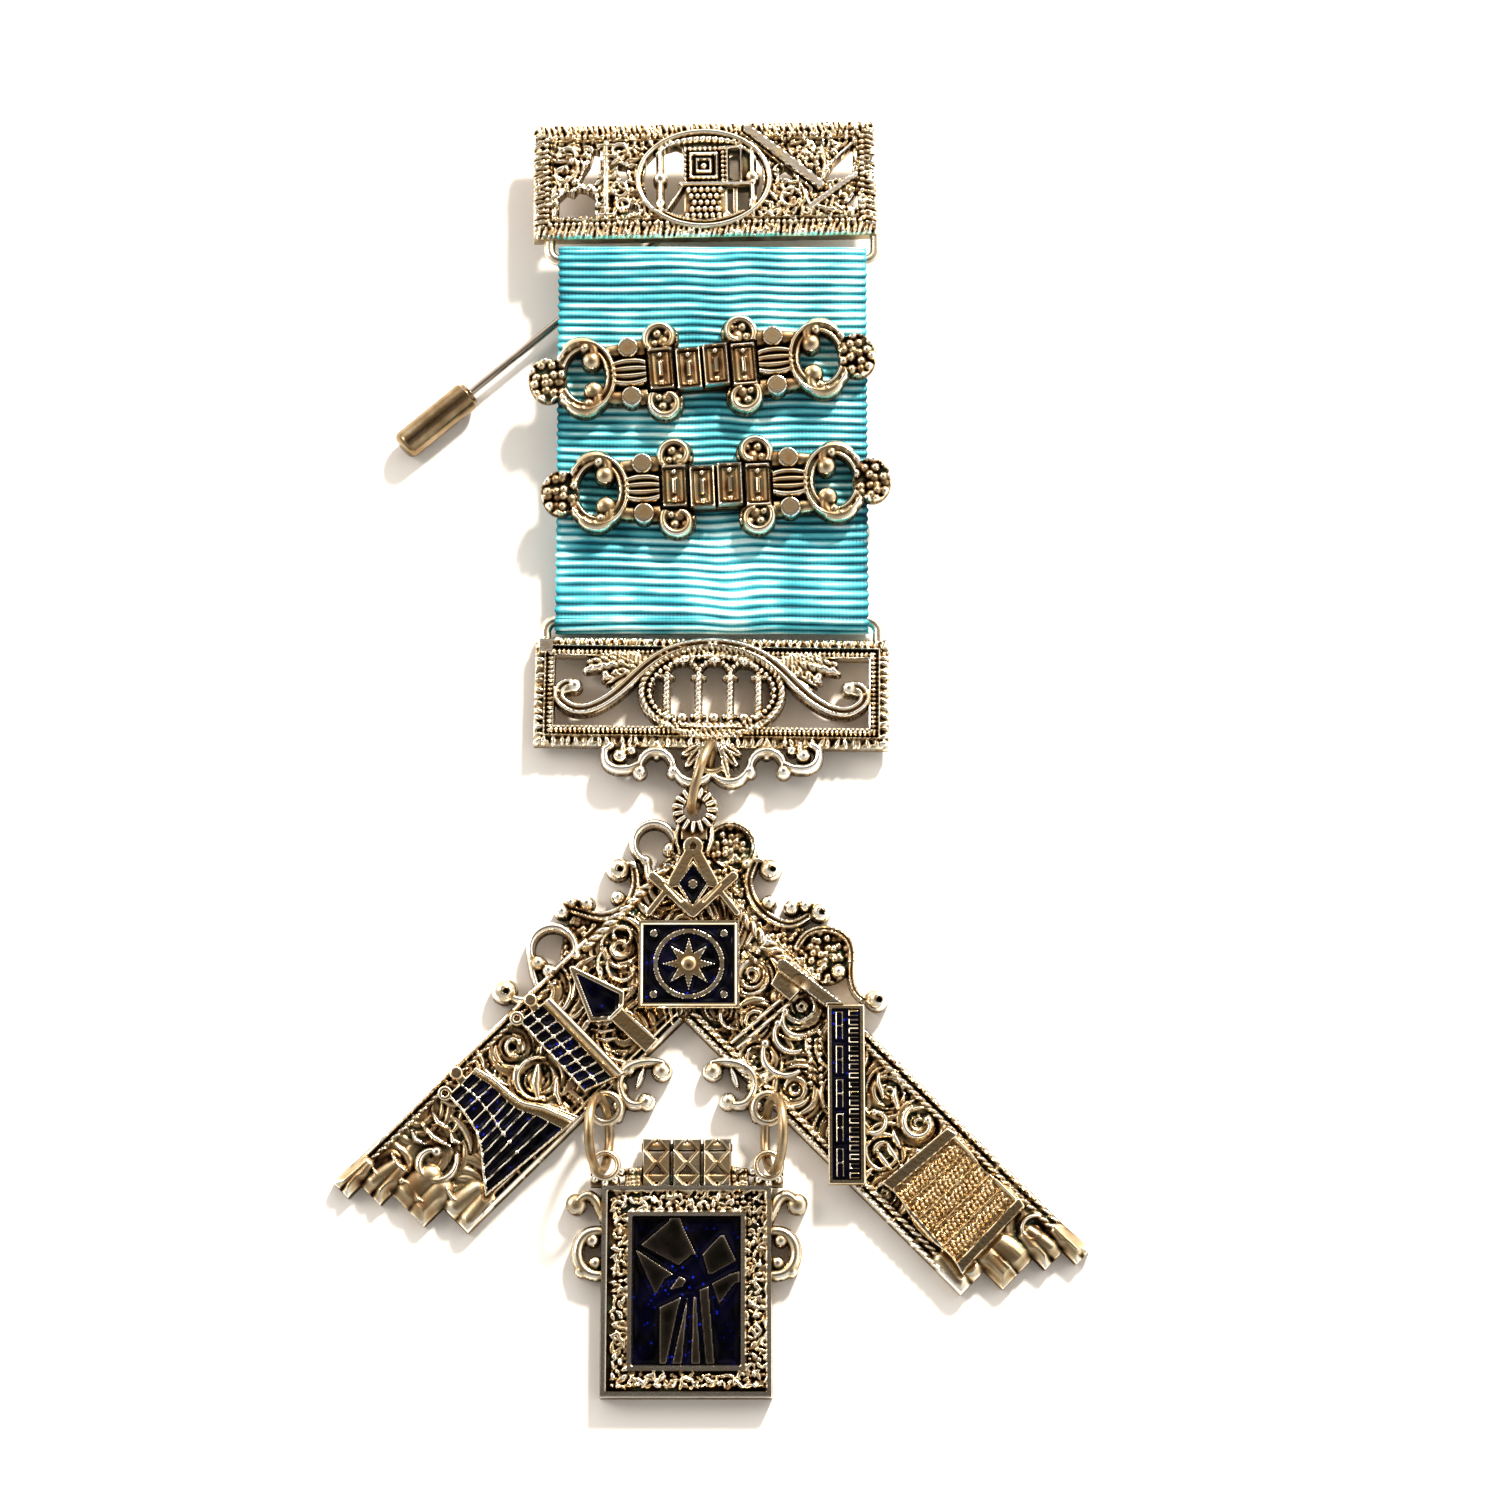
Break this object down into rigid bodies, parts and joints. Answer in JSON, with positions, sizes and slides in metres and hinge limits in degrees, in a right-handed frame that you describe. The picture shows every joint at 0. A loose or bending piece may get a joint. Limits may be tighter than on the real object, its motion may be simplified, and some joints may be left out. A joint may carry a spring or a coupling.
{
  "type": "lodge breast jewel",
  "caption": "Breast jewel with a pierced brooch bar on a stick pin, a folded ribbon with date bars, a pierced lower bar, and an openwork square that carries emblems and a hanging plaque.",
  "frame": {"origin": "middle of the bounding box, on the surface that the jewel lies on", "axes": "+X to the right as seen from the front, +Y up the ribbon to the brooch bar, +Z out of the surface towards the viewer"},
  "size_m": [0.0882, 0.1562, 0.0098],
  "materials": {
    "cast_metal": "cast and gilt, worn to a pale champagne tone on the raised parts, dark in the recesses",
    "pin_steel": "drawn wire and turned barrel, slightly tarnished",
    "ribbon": "ribbed watered silk",
    "enamel": "dark blue fired enamel, glossy"
  },
  "bodies": {
    "jewel": {"top_bar": "cast_metal", "ribbon": "ribbon", "date_bar_upper": "cast_metal", "date_bar_lower": "cast_metal", "bottom_bar": "cast_metal", "top_jump_ring": "cast_metal", "masons_square": "cast_metal", "compasses": "cast_metal", "compasses_enamel": "enamel", "badge": "cast_metal", "badge_enamel": "enamel", "trowel": "cast_metal", "trowel_enamel": "enamel", "roof_upper": "cast_metal", "roof_upper_enamel": "enamel", "roof_lower": "cast_metal", "roof_lower_enamel": "enamel", "gavel": "cast_metal", "gauge": "cast_metal", "gauge_enamel": "enamel", "scroll_board": "cast_metal", "left_jump_ring": "cast_metal", "right_jump_ring": "cast_metal", "plaque": "cast_metal", "plaque_enamel": "enamel"},
    "pin": {"brooch_pin": "pin_steel"},
    "guard": {"pin_guard": "pin_steel"}
  },
  "joints": [
    {"name": "pin_swivel", "type": "hinge", "parent": "jewel", "child": "pin", "pos_m": [0.00313, 0.07249, 0.0019], "axis": [0, 0, 1], "range_deg": [-41, 5]},
    {"name": "guard_slide", "type": "slide", "parent": "pin", "child": "guard", "axis": [-0.7524, -0.6587, 0], "range_m": [0, 0.012]}
  ]
}
